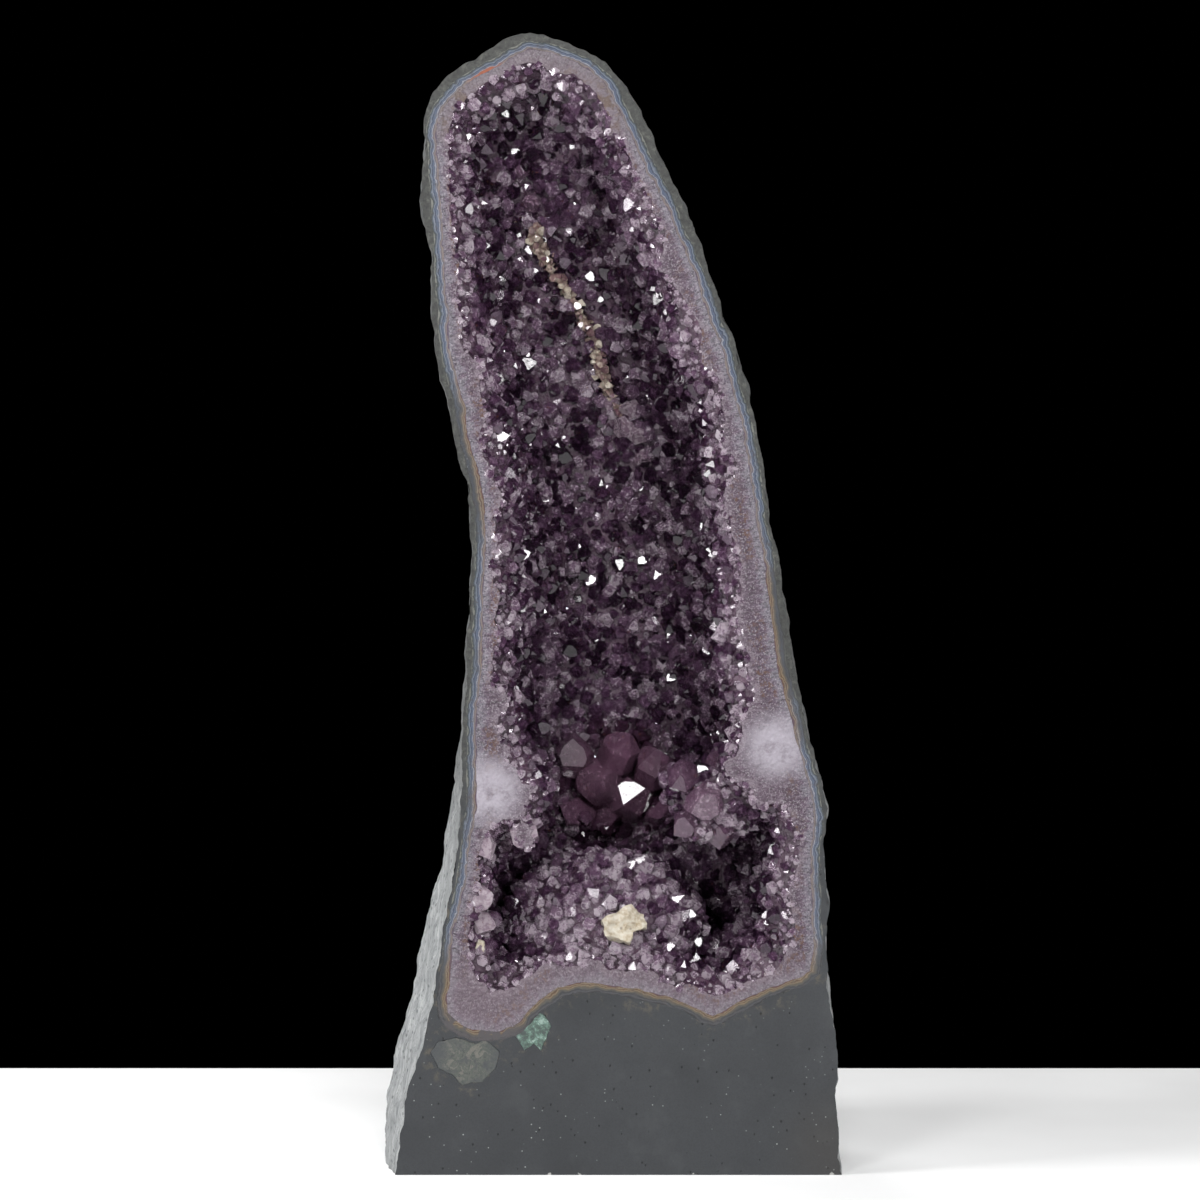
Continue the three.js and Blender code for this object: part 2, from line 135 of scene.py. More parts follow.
class Shader:
    """A material whose nodes are added by name, with sockets or plain values as their inputs."""

    def __init__(self, name):
        self.material = bpy.data.materials.new(name)
        self.material.use_nodes = True
        self.tree = self.material.node_tree
        self.tree.nodes.clear()
        self.output = self.tree.nodes.new("ShaderNodeOutputMaterial")
        self.coords = self.add("ShaderNodeTexCoord").outputs["Object"]
        self.places = self.add("ShaderNodeSeparateXYZ", Vector=self.coords).outputs

    def add(self, kind, settings=None, **inputs):
        node = self.tree.nodes.new(kind)
        for key, value in (settings or {}).items():
            setattr(node, key, value)
        for key, value in inputs.items():
            self.feed(node.inputs[key.replace("_", " ")], value)
        return node

    def feed(self, socket, value):
        if isinstance(value, bpy.types.NodeSocket):
            self.tree.links.new(value, socket)
        else:
            socket.default_value = value

    def math(self, operation, a, b=0.0, clamp=False):
        node = self.add("ShaderNodeMath", {"operation": operation, "use_clamp": clamp})
        self.feed(node.inputs[0], a)
        self.feed(node.inputs[1], b)
        return node.outputs[0]

    def fade(self, value, start, end, low=0.0, high=1.0):
        """Runs smoothly from low to high while value runs from start to end."""
        node = self.add("ShaderNodeMapRange", {"interpolation_type": "SMOOTHSTEP"}, Value=value)
        for key, number in zip(("From Min", "From Max", "To Min", "To Max"), (start, end, low, high)):
            node.inputs[key].default_value = number
        return node.outputs[0]

    def noise(self, size, detail=3.0, roughness=0.55, coords=None, distortion=0.0):
        node = self.add("ShaderNodeTexNoise", Vector=coords or self.coords)
        node.inputs["Scale"].default_value = 1 / size
        node.inputs["Detail"].default_value = detail
        node.inputs["Roughness"].default_value = roughness
        node.inputs["Distortion"].default_value = distortion
        return node.outputs["Fac"]

    def cells(self, size, coords=None, feature="F1"):
        node = self.add("ShaderNodeTexVoronoi", {"feature": feature}, Vector=coords or self.coords)
        node.inputs["Scale"].default_value = 1 / size
        return node.outputs

    def stretched(self, x, y, z, coords=None):
        """Coordinates scaled along each axis."""
        node = self.add("ShaderNodeVectorMath", {"operation": "MULTIPLY"})
        self.feed(node.inputs[0], coords or self.coords)
        self.feed(node.inputs[1], (x, y, z))
        return node.outputs[0]

    def ramp(self, value, stops):
        node = self.add("ShaderNodeValToRGB", Fac=value)
        elements = node.color_ramp.elements
        while len(elements) < len(stops):
            elements.new(1.0)
        for element, (position, code) in zip(elements, stops):
            element.position = position
            element.color = colour(code)
        return node.outputs["Color"]

    def mix(self, factor, a, b, blend="MIX"):
        node = self.add("ShaderNodeMix", {"data_type": "RGBA", "blend_type": blend})
        self.feed(node.inputs["Factor"], factor)
        self.feed(node.inputs[6], colour(a) if isinstance(a, str) else a)
        self.feed(node.inputs[7], colour(b) if isinstance(b, str) else b)
        return node.outputs[2]

    def attribute(self, name):
        return self.add("ShaderNodeAttribute", {"attribute_name": name}).outputs["Fac"]

    def near(self, x, z, inner, outer):
        """1 within inner millimetres of a place on the front, fading to 0 at outer."""
        dx = self.math("SUBTRACT", self.places["X"], x * MM)
        dz = self.math("SUBTRACT", self.places["Z"], z * MM)
        squares = self.math("ADD", self.math("MULTIPLY", dx, dx), self.math("MULTIPLY", dz, dz))
        return self.fade(self.math("SQRT", squares), inner * MM, outer * MM, 1.0, 0.0)

    def bump(self, height, distance, strength=1.0, normal=None):
        node = self.add("ShaderNodeBump", Height=height, Distance=distance, Strength=strength)
        if normal:
            self.feed(node.inputs["Normal"], normal)
        return node.outputs["Normal"]

    def finish(self, base, roughness, normal=None, volume=None, **constants):
        surface = self.add("ShaderNodeBsdfPrincipled", Base_Color=base, Roughness=roughness)
        for key, value in constants.items():
            surface.inputs[key.replace("_", " ")].default_value = value
        if normal:
            self.feed(surface.inputs["Normal"], normal)
        self.tree.links.new(surface.outputs["BSDF"], self.output.inputs["Surface"])
        if volume:
            absorbing = self.add("ShaderNodeVolumeAbsorption", Color=volume[0], Density=volume[1])
            self.tree.links.new(absorbing.outputs["Volume"], self.output.inputs["Volume"])
        return self.material


# ---------------------------------------------------------------- meshes from CAD nodes


def cad_mesh(node):
    """A separate copy of a CAD node's mesh, with its shared vertices merged."""
    mesh = bmesh.new()
    mesh.from_mesh(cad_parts[node].data)
    bmesh.ops.remove_doubles(mesh, verts=mesh.verts, dist=0.002 * MM)
    bmesh.ops.triangulate(mesh, faces=mesh.faces)
    bmesh.ops.recalc_face_normals(mesh, faces=mesh.faces)
    return mesh


def on_front(face):
    return all(vert.co.y < FRONT + ON_CUT for vert in face.verts)


def on_foot(face):
    return all(vert.co.z < ON_CUT for vert in face.verts)


def sawn(face):
    return on_front(face) or on_foot(face)


def connected(seed):
    """The faces reached from a seed without crossing a saw cut."""
    found, waiting = {seed}, [seed]
    while waiting:
        for edge in waiting.pop().edges:
            for face in edge.link_faces:
                if face not in found and not sawn(face):
                    found.add(face)
                    waiting.append(face)
    return found


def refine(mesh, pick, longest):
    """Splits the edges of the picked faces until none is longer than longest."""
    length = 64 * longest
    while length > longest:
        length = max(longest, length / 2)
        edges = {
            edge for face in mesh.faces if pick(face) for edge in face.edges if edge.calc_length() > length
        }
        if edges:
            bmesh.ops.subdivide_edges(mesh, edges=list(edges), cuts=1)
            bmesh.ops.triangulate(mesh, faces=[face for face in mesh.faces if len(face.verts) > 3])


def roughness_at(point, layers):
    """How far noise lifts a surface at a point: layers of (size, height)."""
    return sum(height * noise.noise(point / size) for size, height in layers)


def displace(mesh, faces, layers, inward=False):
    """Lifts the picked faces by noise. Points on a saw cut slide along it, so that it stays flat."""
    verts = {vert for face in faces for vert in face.verts}
    moved = []
    for vert in verts:
        shift = vert.normal * roughness_at(vert.co, layers)
        if vert.co.y < FRONT + ON_CUT:
            shift.y = 0
        if vert.co.z < ON_CUT:
            shift.z = 0
        moved.append((vert, vert.co + shift))
    for vert, place in moved:
        vert.co = place


def wander(mesh):
    """
    Moves the points of the sawn front within it, alike for every layer, so that borders stray and still
    meet.
    """
    aside = Vector((0.31, 0.17, 0.53))
    for vert in mesh.verts:
        if vert.co.y < FRONT + ON_CUT:
            start = vert.co.copy()
            vert.co.x += roughness_at(start, RIM_WANDER)
            if start.z > ON_CUT:
                vert.co.z += roughness_at(start + aside, RIM_WANDER)


def smooth(mesh, faces, rounds):
    """Evens out the flat facets of the picked faces, all but their points on a saw cut."""
    verts = [
        vert
        for vert in {vert for face in faces for vert in face.verts}
        if vert.co.y > FRONT + ON_CUT and vert.co.z > ON_CUT
    ]
    for _ in range(rounds):
        bmesh.ops.smooth_vert(
            mesh, verts=verts, factor=0.5, use_axis_x=True, use_axis_y=True, use_axis_z=True
        )


def shown(mesh, name, material, node, smooth_faces=()):
    """Turns a bmesh into the piece of that name."""
    for face in smooth_faces:
        face.smooth = True
    data = bpy.data.meshes.new(name)
    mesh.to_mesh(data)
    mesh.free()
    return shown_data(data, name, material, node)


def shown_data(data, name, material, node):
    piece = bpy.data.objects.new(name, data)
    bpy.context.scene.collection.objects.link(piece)
    if material:
        data.materials.clear()
        data.materials.append(material)
    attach(piece, "root")
    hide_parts(node)
    return piece


def outline_edges(mesh, faces):
    """The edges in which the sawn front meets the given wall faces."""
    return [
        edge for face in faces for edge in face.edges if any(on_front(other) for other in edge.link_faces)
    ]


def in_order(edges):
    """The two ends of each edge of a closed outline, one after the other round it."""
    neighbours = {}
    for edge in edges:
        for vert in edge.verts:
            neighbours.setdefault(vert, []).append(edge.other_vert(vert))
    first = min(neighbours, key=lambda vert: vert.co.z)
    last, here = None, first
    steps = []
    for _ in edges:
        following = next(vert for vert in neighbours[here] if vert is not last)
        steps.append((here.co.copy(), following.co.copy()))
        last, here = here, following
        if here == first:
            break
    return steps


def outline_measure(edges):
    """
    A function that gives how far a point is from an outline on the front, in millimetres, and where along it:
    as a place on a circle as long as the outline, so that a pattern on it has no seam.
    """
    steps = in_order(edges)
    start = np.array([[a.x, a.z] for a, _ in steps]) / MM
    way = np.array([[b.x - a.x, b.z - a.z] for a, b in steps]) / MM
    lengths = np.hypot(*way.T)
    walked = np.concatenate([[0], np.cumsum(lengths)[:-1]])

    radius = lengths.sum() / math.tau

    def measure(place):
        point = np.array([place.x, place.z]) / MM
        share = np.clip(((point - start) * way).sum(1) / lengths**2, 0, 1)
        distances = np.hypot(*(point - start - way * share[:, None]).T)
        best = distances.argmin()
        turn = (walked[best] + share[best] * lengths[best]) / radius
        return distances[best], radius * math.cos(turn), radius * math.sin(turn)

    return measure


def store_band(mesh, rim, mouth=None):
    """
    Stores each point's distance from the rim's outline, its place round it, and its distance from the
    mouth's.
    """
    layers = [mesh.verts.layers.float.new(name) for name in ("across", "round_x", "round_y", "inward")]
    for vert in mesh.verts:
        values = rim(vert.co) + (mouth(vert.co)[0] if mouth else 0.0,)
        for layer, value in zip(layers, values):
            vert[layer] = value


# ---------------------------------------------------------------- materials


def rock_material():
    """Dark smooth basalt where sawn, pale and pitted where rough."""
    g = Shader("basalt")
    behind = g.math("SUBTRACT", g.places["Y"], FRONT)
    rough_side = g.math(
        "MULTIPLY", g.fade(behind, 0.05 * MM, 0.3 * MM), g.fade(g.places["Z"], 0.05 * MM, 0.3 * MM)
    )
    cut = g.ramp(g.noise(60 * MM, 4), [(0.3, "#26282b"), (0.55, "#2d2f32"), (0.75, "#282b2e")])
    cut = g.mix(g.fade(g.noise(1.2 * MM, 2), 0.35, 0.75, 0.0, 0.4), cut, "#1b1e1f")
    cut = g.mix(g.fade(g.noise(24 * MM, 3), 0.56, 0.72, 0.0, 0.35), cut, "#37393b")
    low = g.fade(g.places["Z"], 90 * MM, 15 * MM)
    specks = g.fade(g.cells(6 * MM)["Distance"], 0.12, 0.07)
    specks = g.math("MULTIPLY", specks, g.fade(g.noise(30 * MM, 1), 0.46, 0.6))
    cut = g.mix(g.math("MULTIPLY", specks, g.math("ADD", low, 0.35, True)), cut, "#818382")
    pits = g.fade(g.cells(11 * MM, g.stretched(1.3, 1, 1))["Distance"], 0.10, 0.07)
    cut = g.mix(g.math("MULTIPLY", pits, 0.85), cut, "#0b0d0f")
    cut = g.mix(g.math("MULTIPLY", g.near(176, 20, 5, 60), 0.4), cut, "#332f2b")
    stains = g.fade(g.noise(9 * MM, 5, 0.7), 0.52, 0.66)
    stains = g.math("MULTIPLY", stains, g.fade(g.attribute("from_agate"), 16, 1))
    cut = g.mix(g.math("MULTIPLY", stains, 0.7), cut, "#4a453c")
    chips = g.math(
        "MULTIPLY", g.fade(g.places["Z"], 4 * MM, 0.5 * MM), g.fade(g.noise(9 * MM, 3), 0.66, 0.69)
    )
    cut = g.mix(chips, cut, "#8e8e8b")
    crust = g.ramp(g.noise(5 * MM, 5, 0.7), [(0.3, "#1e1f1f"), (0.55, "#333432"), (0.75, "#52524d")])
    crust = g.mix(g.fade(g.noise(2 * MM, 2), 0.5, 0.7, 0.0, 0.7), crust, "#151615")
    upper = g.fade(g.places["Z"], 200 * MM, 420 * MM)
    cut = g.mix(upper, cut, crust)
    streaks = g.noise(6 * MM, 4, 0.6, g.stretched(1, 1, 0.25))
    side = g.ramp(streaks, [(0.3, "#676a6b"), (0.5, "#888a8b"), (0.7, "#a5a7a6")])
    side = g.mix(g.fade(g.noise(45 * MM, 3), 0.45, 0.7, 0.0, 0.45), side, "#6e7070")
    side = g.mix(g.fade(g.cells(7 * MM)["Distance"], 0.3, 0.1, 0.0, 0.7), side, "#404446")
    side = g.mix(g.fade(g.noise(3 * MM, 3), 0.55, 0.75, 0.0, 0.6), side, "#494e50")
    side = g.mix(g.math("MULTIPLY", upper, 0.75), side, crust)
    base = g.mix(rough_side, cut, side)
    height = g.math("MULTIPLY", g.noise(2.2 * MM, 5, 0.65), rough_side)
    normal = g.bump(g.math("ADD", height, g.math("MULTIPLY", pits, -0.6)), 1.8 * MM)
    return g.finish(base, g.fade(rough_side, 0, 1, 0.5, 0.9), normal, Specular_IOR_Level=0.35)


def agate_material():
    """
    Fine bands across the rim: pale blue-grey outside, white, tan and orange lines inside, browner low
    down.
    """
    g = Shader("agate")
    wobble = g.math("MULTIPLY", g.math("SUBTRACT", g.noise(11 * MM, 5, 0.6), 0.5), 7.0)
    place = g.math("DIVIDE", g.math("ADD", g.attribute("across"), wobble), 7.5)
    blue = g.ramp(place, [
        (0.0, "#5d5e5a"), (0.07, "#2f3333"), (0.2, "#424850"), (0.31, "#5d626d"), (0.37, "#2c3340"),
        (0.5, "#484f5e"), (0.6, "#3c4353"), (0.67, "#76777d"), (0.75, "#46424c"), (0.88, "#655c57"),
        (1.0, "#463c48"),
    ])
    brown = g.ramp(place, [
        (0.0, "#252527"), (0.14, "#3a3a3d"), (0.28, "#27292c"), (0.42, "#413f3c"), (0.55, "#473f34"),
        (0.66, "#665a49"), (0.74, "#402b1a"), (0.84, "#665c4e"), (0.92, "#483020"), (1.0, "#45343a"),
    ])
    low = g.fade(g.places["Z"], 560 * MM, 430 * MM)
    browner = g.math("MULTIPLY", low, g.fade(g.noise(110 * MM, 2), 0.42, 0.58))
    browner = g.math("MAXIMUM", browner, g.fade(g.places["Z"], 200 * MM, 150 * MM))
    browner = g.math("MAXIMUM", browner, g.math("MULTIPLY", g.near(-118, 560, 30, 90), 0.8))
    base = g.mix(browner, blue, brown)
    corner = g.math("MULTIPLY", g.near(-104, 104, 24, 44), g.fade(g.noise(8 * MM, 4), 0.4, 0.5))
    base = g.mix(corner, base, "#3d3a3c")
    base = g.mix(
        g.math("MULTIPLY", g.near(-97, 866, 4, 20), g.fade(place, 0.6, 0.8, 0.0, 0.8)), base, "#7e422a"
    )
    base = g.mix(g.fade(g.noise(5 * MM, 4, 0.7), 0.5, 0.7, 0.0, 0.6), base, "#3c3838")
    return g.finish(base, 0.25, g.bump(g.noise(2 * MM, 3), 0.25 * MM))


def bed_material():
    """
    The sawn rim of the druse, in zones from the agate inwards, and the dark ground between the crystals.
    """
    g = Shader("amethyst cut")
    across, inward = g.attribute("across"), g.attribute("inward")
    rays = g.add(
        "ShaderNodeCombineXYZ",
        X=g.math("DIVIDE", g.attribute("round_x"), 3.2),
        Y=g.math("DIVIDE", g.attribute("round_y"), 3.2),
        Z=g.math("DIVIDE", across, 9.0),
    ).outputs[0]
    shade = g.add("ShaderNodeSeparateColor", Color=g.cells(1.0, rays)["Color"]).outputs["Red"]
    streaks = g.noise(0.5, 4, 0.7, rays)
    blotches = g.noise(12 * MM, 4, 0.62)
    shifted = across
    for jitter, reach in ((shade, 6.0), (streaks, 9.0), (blotches, 9.0)):
        shifted = g.math("ADD", shifted, g.math("MULTIPLY", g.math("SUBTRACT", jitter, 0.5), reach))
    zones = g.ramp(g.math("DIVIDE", shifted, 22.0), [
        (0.08, "#57535c"), (0.2, "#514955"), (0.36, "#402e3f"), (0.55, "#342132"), (0.8, "#382636"),
        (1.0, "#412f3e"),
    ])
    zones = g.mix(g.fade(streaks, 0.38, 0.5, 0.7, 0.0), zones, "#1c0f19")
    zones = g.mix(g.fade(streaks, 0.52, 0.65, 0.0, 0.5), zones, "#615560")
    tips = g.math("ADD", inward, g.math("MULTIPLY", g.math("SUBTRACT", shade, 0.5), 7.0))
    zones = g.mix(g.fade(tips, 5.0, 0.5, 0.0, 0.55), zones, "#645861")
    grains = g.noise(1.4 * MM, 4, 0.75)
    zones = g.mix(g.fade(grains, 0.53, 0.62, 0.0, 0.7), zones, "#7d757c")
    zones = g.mix(g.fade(grains, 0.46, 0.36, 0.0, 0.75), zones, "#221420")
    rust = g.math(
        "MULTIPLY", g.fade(g.noise(3.5 * MM, 4, 0.7), 0.5, 0.6), g.fade(g.noise(60 * MM, 2), 0.42, 0.54)
    )
    middle = g.math("MULTIPLY", g.fade(across, 4, 8), g.fade(across, 22, 14))
    zones = g.mix(g.math("MULTIPLY", g.math("MULTIPLY", rust, middle), 0.85), zones, "#412415")
    zones = g.mix(g.fade(g.places["Z"], 790 * MM, 850 * MM, 0.0, 0.6), zones, "#544a4f")
    zones = g.mix(g.fade(g.places["Z"], 185 * MM, 150 * MM, 0.0, 0.4), zones, "#61555c")
    gold = g.math("MAXIMUM", g.near(-118, 838, 5, 34), g.near(-4, 842, 5, 30))
    zones = g.mix(
        g.math("MULTIPLY", gold, g.fade(g.noise(7 * MM, 3), 0.45, 0.62, 0.0, 0.75)), zones, "#422f1d"
    )
    for x, z, reach in MILKY_CORES:
        core = g.near(x, z, reach * 0.3, reach * 1.2)
        core = g.math("MULTIPLY", core, g.fade(g.noise(11 * MM, 5, 0.7), 0.25, 0.55, 0.4, 1.0))
        zones = g.mix(core, zones, "#87818a")
    inside = g.fade(g.math("SUBTRACT", g.places["Y"], FRONT), 0.05 * MM, 0.6 * MM)
    ground = g.ramp(g.noise(20 * MM, 3), [(0.3, "#1f121c"), (0.6, "#3a2535"), (0.8, "#523a4b")])
    base = g.mix(inside, zones, ground)
    lumps = g.math(
        "ADD", g.math("MULTIPLY", shade, 0.6), g.math("MULTIPLY", g.cells(3 * MM)["Distance"], 1.2)
    )
    lumps = g.math("ADD", lumps, grains)
    return g.finish(base, 0.22, g.bump(lumps, 0.9 * MM, 0.8))


def crystal_material(name, ramp, transmission, absorbed, density):
    """
    See-through quartz. The tone of each crystal is stored on it; those near the front and on the mound
    are paler.
    """
    g = Shader(name)
    tone = g.attribute("tone")
    behind = g.math("SUBTRACT", g.places["Y"], FRONT)
    near_front = g.fade(behind, 30 * MM, 4 * MM, 0.0, 0.35)
    mound = g.math("MULTIPLY", g.near(-7, 200, 50, 92), g.fade(behind, 95 * MM, 60 * MM, 0.0, 0.3))
    tone = g.math("ADD", g.math("ADD", tone, near_front), mound, True)
    veils = g.fade(g.noise(4 * MM, 5, 0.7), 0.42, 0.7, -0.15, 0.3)
    base = g.ramp(g.math("ADD", tone, veils, True), ramp)
    warm = g.math("MULTIPLY", g.near(4, 300, 20, 70), g.fade(behind, 60 * MM, 100 * MM, 0.0, 0.45))
    base = g.mix(warm, base, "#70495f")
    rust = g.math("MULTIPLY", g.fade(g.noise(2.5 * MM, 3), 0.62, 0.7), g.fade(g.noise(40 * MM, 2), 0.5, 0.62))
    base = g.mix(g.math("MULTIPLY", rust, 0.7), base, "#6d4029")
    return g.finish(
        base,
        g.fade(g.noise(9 * MM, 2), 0.35, 0.65, 0.02, 0.12),
        g.bump(g.noise(2.5 * MM, 3), 0.03 * MM),
        volume=(absorbed, density),
        Transmission_Weight=transmission,
        IOR=1.54,
    )


def calcite_material(name, pale, dark, grain):
    g = Shader(name)
    base = g.ramp(g.noise(grain, 4, 0.65), [(0.3, dark), (0.55, pale), (0.8, "#aba69c")])
    base = g.mix(g.fade(g.cells(grain * 1.4)["Distance"], 0.22, 0.1, 0.0, 0.6), base, "#463a2e")
    return g.finish(base, 0.45, g.bump(g.noise(grain * 0.5, 4), 0.5 * MM))


def patch_material(name, stops, grain, middle):
    """A mottled mineral that turns into rock colour away from its middle: x, z and reach in millimetres."""
    g = Shader(name)
    base = g.ramp(g.noise(grain, 5, 0.7, distortion=0.6), stops)
    dark = g.fade(g.noise(grain * 0.35, 4, 0.7), 0.48, 0.36, 0.0, 0.7)
    base = g.mix(dark, base, "#25272a")
    x, z, reach = middle
    inside = g.math(
        "MULTIPLY", g.near(x, z, reach * 0.3, reach), g.fade(g.noise(grain, 4, 0.7), 0.38, 0.5, 0.3, 1.0)
    )
    base = g.mix(inside, "#2f3235", base)
    return g.finish(base, 0.5, g.bump(g.noise(grain * 0.3, 3), 0.25 * MM))


# ---------------------------------------------------------------- the pieces that follow CAD nodes


def build_rock():
    mesh = cad_mesh("basalt_shell")
    tag = mesh.faces.layers.int.new("outer")
    outer = connected(max(mesh.faces, key=lambda face: face.calc_center_median().y))
    for face in outer:
        face[tag] = 1
    refine(mesh, lambda face: face[tag] == 1, ROCK_EDGE)
    refine(mesh, on_front, CUT_EDGE)
    mesh.normal_update()
    outside = [face for face in mesh.faces if face[tag] == 1]
    smooth(mesh, outside, 6)
    mesh.normal_update()
    displace(mesh, outside, ROCK_ROUGHNESS)
    cavity = [face for face in mesh.faces if face[tag] == 0 and not sawn(face)]
    inner = connected(max(cavity, key=lambda face: face.calc_area()))
    to_agate = outline_measure(outline_edges(mesh, inner))
    from_agate = mesh.verts.layers.float.new("from_agate")
    for vert in mesh.verts:
        vert[from_agate] = to_agate(vert.co)[0] if vert.co.y < FRONT + ON_CUT else 100.0
    wander(mesh)
    mesh.normal_update()
    return shown(mesh, "rock", rock_material(), "basalt_shell", outside)


def thicken(walls, amount):
    """Moves walls outwards, without leaving the sawn front."""
    shifts = {}
    for face in walls:
        for vert in face.verts:
            shifts[vert] = shifts.get(vert, Vector()) + face.normal * face.calc_area()
    for vert, shift in shifts.items():
        if vert.co.y < FRONT + ON_CUT:
            shift.y = 0
        vert.co += shift.normalized() * amount


def build_agate():
    mesh = cad_mesh("agate_band")
    refine(mesh, on_front, CUT_EDGE * 0.6)
    walls = [face for face in mesh.faces if not sawn(face)]
    outer = connected(max(mesh.faces, key=lambda face: face.calc_center_median().y))
    store_band(mesh, outline_measure(outline_edges(mesh, outer)))
    walls = [face for face in mesh.faces if not sawn(face)]
    mesh.normal_update()
    thicken(walls, LAYER_GAP)
    wander(mesh)
    mesh.normal_update()
    return shown(mesh, "agate", agate_material(), "agate_band", walls)


def flare_mouth(faces, rim):
    """
    Lets the bed fall back round the mouth of the hollow, unevenly, so that crystals grow there facing
    outwards.
    """
    for vert in {vert for face in faces for vert in face.verts}:
        share = 1 - (vert.co.y - FRONT) / FLARE["depth"]
        outwards = Vector((-vert.normal.x, 0, -vert.normal.z))
        if share > 0 and outwards.length > 1e-6:
            spare = rim(vert.co)[0] * MM - FLARE["rim"]
            wanted = FLARE["width"] * (0.75 + 0.8 * noise.noise(vert.co / (26 * MM)))
            vert.co += outwards.normalized() * share * max(0, min(spare, wanted))


def close_front(mesh):
    """Fills the sawn front anew between its outlines."""
    bmesh.ops.delete(mesh, geom=[face for face in mesh.faces if on_front(face)], context="FACES_ONLY")
    outlines = [edge for edge in mesh.edges if len(edge.link_faces) == 1]
    bmesh.ops.delete(mesh, geom=[edge for edge in mesh.edges if edge.is_wire], context="EDGES")
    filled = bmesh.ops.triangle_fill(mesh, edges=outlines, use_beauty=True, normal=Vector((0, -1, 0)))
    return [part for part in filled["geom"] if isinstance(part, bmesh.types.BMFace)]


def tooth(vert):
    """Where a point of the mouth's outline moves, so that the outline follows the crystals sawn there."""
    push = Vector((-vert.normal.x, 0, -vert.normal.z))
    return push.normalized() * roughness_at(vert.co, MOUTH_TEETH) if push.length > 1e-6 else Vector()


def store_growth(mesh, nodes=(), clear=0.0):
    """
    Stores on a wall where crystals have room, which is not near the given CAD nodes, and how large they
    grow.
    """
    taken = [vert.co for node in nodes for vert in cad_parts[node].data.vertices]
    tree = KDTree(len(taken))
    for i, place in enumerate(taken):
        tree.insert(place, i)
    tree.balance()
    room = mesh.verts.layers.float.new("room")
    size = mesh.verts.layers.float.new("size")
    for vert in mesh.verts:
        vert[room] = 0.0 if taken and tree.find(vert.co)[2] < clear else 1.0
        vert[size] = 1.0 - RIM_SMALLER * max(0.0, 1 - (vert.co.y - FRONT) / FLARE["depth"])


def build_bed():
    """
    The druse's bed, a separate mesh of its walls inside the hollow, and a strip for the fringe of
    crystals.
    """
    mesh = cad_mesh("amethyst_lining")
    tag = mesh.faces.layers.int.new("hollow")
    middle = Vector((0, FRONT + 60 * MM, 450 * MM))
    facing = [
        face
        for face in mesh.faces
        if not sawn(face) and (middle - face.calc_center_median()).dot(face.normal) > 0
    ]
    for face in connected(max(facing, key=lambda face: face.calc_area())):
        face[tag] = 1
    refine(mesh, lambda face: face[tag] == 1, BED_EDGE)
    mesh.normal_update()
    walls = [face for face in mesh.faces if face[tag] == 1]
    smooth(mesh, walls, 3)
    mesh.normal_update()
    displace(mesh, walls, BED_ROUGHNESS)
    mesh.normal_update()
    rim_wall = connected(next(face for face in mesh.faces if face[tag] == 0 and not sawn(face)))
    rim = outline_measure(outline_edges(mesh, rim_wall))
    flare_mouth(walls, rim)
    mouth_edges = set(outline_edges(mesh, walls))
    for _ in range(MOUTH_PASSES):
        too_long = [edge for edge in mouth_edges if edge.calc_length() > MOUTH_EDGE]
        if not too_long:
            break
        bmesh.ops.subdivide_edges(mesh, edges=too_long, cuts=1)
        bmesh.ops.triangulate(mesh, faces=[face for face in mesh.faces if len(face.verts) > 3])
        mouth_edges = set(outline_edges(mesh, [face for face in mesh.faces if face[tag] == 1]))
    mesh.normal_update()
    shifts = [(vert, tooth(vert)) for vert in {vert for edge in mouth_edges for vert in edge.verts}]
    for vert, shift in shifts:
        vert.co += shift
    for face in close_front(mesh):
        face[tag] = 0
    bmesh.ops.recalc_face_normals(mesh, faces=mesh.faces)
    refine(mesh, on_front, CUT_EDGE)
    mouth = outline_measure(outline_edges(mesh, [face for face in mesh.faces if face[tag] == 1]))
    store_band(mesh, rim, mouth)
    store_growth(mesh, ["calcite_plate", "calcite_chip", "calcite_seam"], 2.5 * MM)
    wander(mesh)
    mesh.normal_update()
    strip = mouth_strip(mesh, tag)
    wall = mesh.copy()
    tag = wall.faces.layers.int["hollow"]
    bmesh.ops.delete(wall, geom=[face for face in wall.faces if face[tag] == 0], context="FACES")
    return shown(mesh, "druse_bed", bed_material(), "amethyst_lining"), wall, strip


def mouth_strip(mesh, tag):
    """
    A strip along the mouth's outline, straight back from the front and facing into the hollow, as mesh
    data.
    """
    strip = bmesh.new()
    back = Vector((0, FRINGE_DEPTH, 0))
    for edge in set(outline_edges(mesh, [face for face in mesh.faces if face[tag] == 1])):
        wall_face = next(face for face in edge.link_faces if face[tag] == 1)
        inwards = Vector((wall_face.normal.x, 0, wall_face.normal.z))
        a, b = (vert.co for vert in edge.verts)
        face = strip.faces.new([strip.verts.new(place) for place in (a, b, b + back, a + back)])
        face.normal_update()
        if face.normal.dot(inwards) < 0:
            face.normal_flip()
    store_growth(strip)
    data = bpy.data.meshes.new("strip")
    strip.to_mesh(data)
    strip.free()
    return data


def build_small(node, name, material, longest, layers, thinner=0.0):
    """A small mineral: the CAD node, finer, rougher and a little thinner. One that is sawn flush stays so."""
    mesh = cad_mesh(node)
    refine(mesh, lambda face: True, longest)
    mesh.normal_update()
    displace(mesh, [face for face in mesh.faces if not on_front(face)], layers)
    mesh.normal_update()
    for vert in mesh.verts:
        vert.co -= vert.normal * thinner
    wander(mesh)
    store_growth(mesh)
    mesh.normal_update()
    return shown(mesh, name, material, node)


# ---------------------------------------------------------------- crystals


